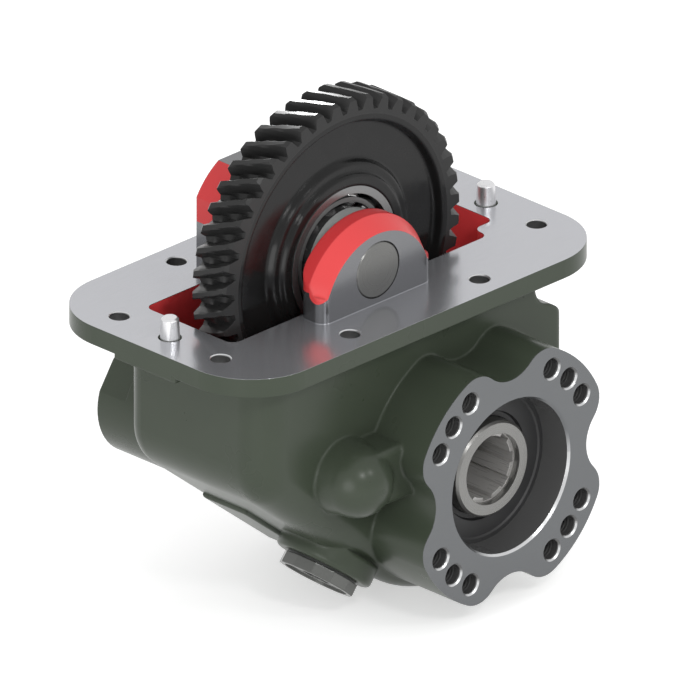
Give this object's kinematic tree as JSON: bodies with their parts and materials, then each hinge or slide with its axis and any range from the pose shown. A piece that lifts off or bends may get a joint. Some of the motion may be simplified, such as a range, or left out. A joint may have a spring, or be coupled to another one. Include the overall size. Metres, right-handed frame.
{
  "type": "power take off unit",
  "caption": "Side-mounted power take off: helical idler gear on a bolted casting, driving a clutched output shaft with a splined socket in a lobed pump flange.",
  "frame": {"origin": "centre of the mounting plate's machined top face", "axes": "+Z out of the mounting face; X along the plate; -Y out of the pump flange (front)"},
  "size_m": [0.255, 0.175, 0.2668],
  "materials": {
    "painted_casting": "satin paint",
    "painted_cover": "satin paint",
    "blackened_gear_steel": "black oxide, oiled",
    "ground_steel": "ground",
    "turned_steel": "turned",
    "bright_steel": "bright",
    "fork_steel": "forged and ground",
    "bearing_steel": "ground",
    "cage_steel": "pressed, dark",
    "screw_steel": "black oxide",
    "spring_steel": "drawn",
    "cap_aluminium": "turned",
    "seal_rubber": "matt",
    "gasket_paper": "fibre",
    "copper_washer": "annealed copper",
    "bush_bronze": "sintered bronze"
  },
  "bodies": {
    "housing_body": {"housing": "painted_casting", "dowel_pins": "bright_steel", "idler_shaft": "turned_steel", "front_idler_inner_ring": "bearing_steel", "rear_idler_inner_ring": "bearing_steel", "front_thrust_ring": "turned_steel", "rear_thrust_ring": "turned_steel", "shaft_spacer": "turned_steel", "front_bearing_outer_ring": "bearing_steel", "rear_bearing_outer_ring": "bearing_steel", "oil_seal": "seal_rubber", "bearing_retaining_ring": "spring_steel", "return_spring": "spring_steel", "actuator_cap": "cap_aluminium", "cap_retaining_ring": "spring_steel", "rear_cover": "painted_cover", "rear_gasket": "gasket_paper", "cover_screws": "screw_steel", "closing_plug": "bright_steel", "plug_washer": "copper_washer"},
    "idler_body": {"input_gear": "blackened_gear_steel", "front_idler_outer_ring": "bearing_steel", "rear_idler_outer_ring": "bearing_steel", "bearing_spacer": "turned_steel", "front_idler_balls": "bearing_steel", "rear_idler_balls": "bearing_steel", "front_idler_cage": "cage_steel", "rear_idler_cage": "cage_steel"},
    "output_gear_body": {"output_gear": "blackened_gear_steel", "gear_bush": "bush_bronze"},
    "output_shaft_body": {"output_shaft": "ground_steel", "clutch_hub": "blackened_gear_steel", "hub_spacer": "turned_steel", "thrust_washer": "bush_bronze", "front_bearing_inner_ring": "bearing_steel", "front_bearing_rollers": "bearing_steel", "front_bearing_cage": "cage_steel", "rear_bearing_inner_ring": "bearing_steel", "rear_bearing_rollers": "bearing_steel", "rear_bearing_cage": "cage_steel"},
    "sleeve_body": {"clutch_sleeve": "blackened_gear_steel"},
    "shift_body": {"shift_rod": "ground_steel", "shift_fork": "fork_steel", "fork_pin": "bright_steel", "piston": "cap_aluminium", "piston_seal": "seal_rubber"}
  },
  "joints": [
    {"name": "input_spin", "type": "hinge", "parent": "housing_body", "child": "idler_body", "pos_m": [-0.01, 0, 0.018], "axis": [0, 1, 0], "continuous": true},
    {"name": "output_gear_spin", "type": "hinge", "parent": "housing_body", "child": "output_gear_body", "pos_m": [0.036, 0, -0.094], "axis": [0, 1, 0], "continuous": true},
    {"name": "output_shaft_spin", "type": "hinge", "parent": "housing_body", "child": "output_shaft_body", "pos_m": [0.036, 0, -0.094], "axis": [0, 1, 0], "continuous": true},
    {"name": "shift_slide", "type": "slide", "parent": "housing_body", "child": "shift_body", "axis": [0, -1, 0], "range_m": [0, 0.008], "stiffness_N_per_m": 3000, "springref_m": -0.004, "deforming": ["return_spring"]},
    {"name": "sleeve_slide", "type": "slide", "parent": "output_shaft_body", "child": "sleeve_body", "axis": [0, -1, 0], "range_m": [0, 0.008]}
  ],
  "couplings": [
    {"joint": "output_gear_spin", "follows": "input_spin", "ratio": -1.913},
    {"joint": "output_shaft_spin", "follows": "input_spin", "ratio": -1.913},
    {"joint": "sleeve_slide", "follows": "shift_slide", "ratio": 1}
  ]
}
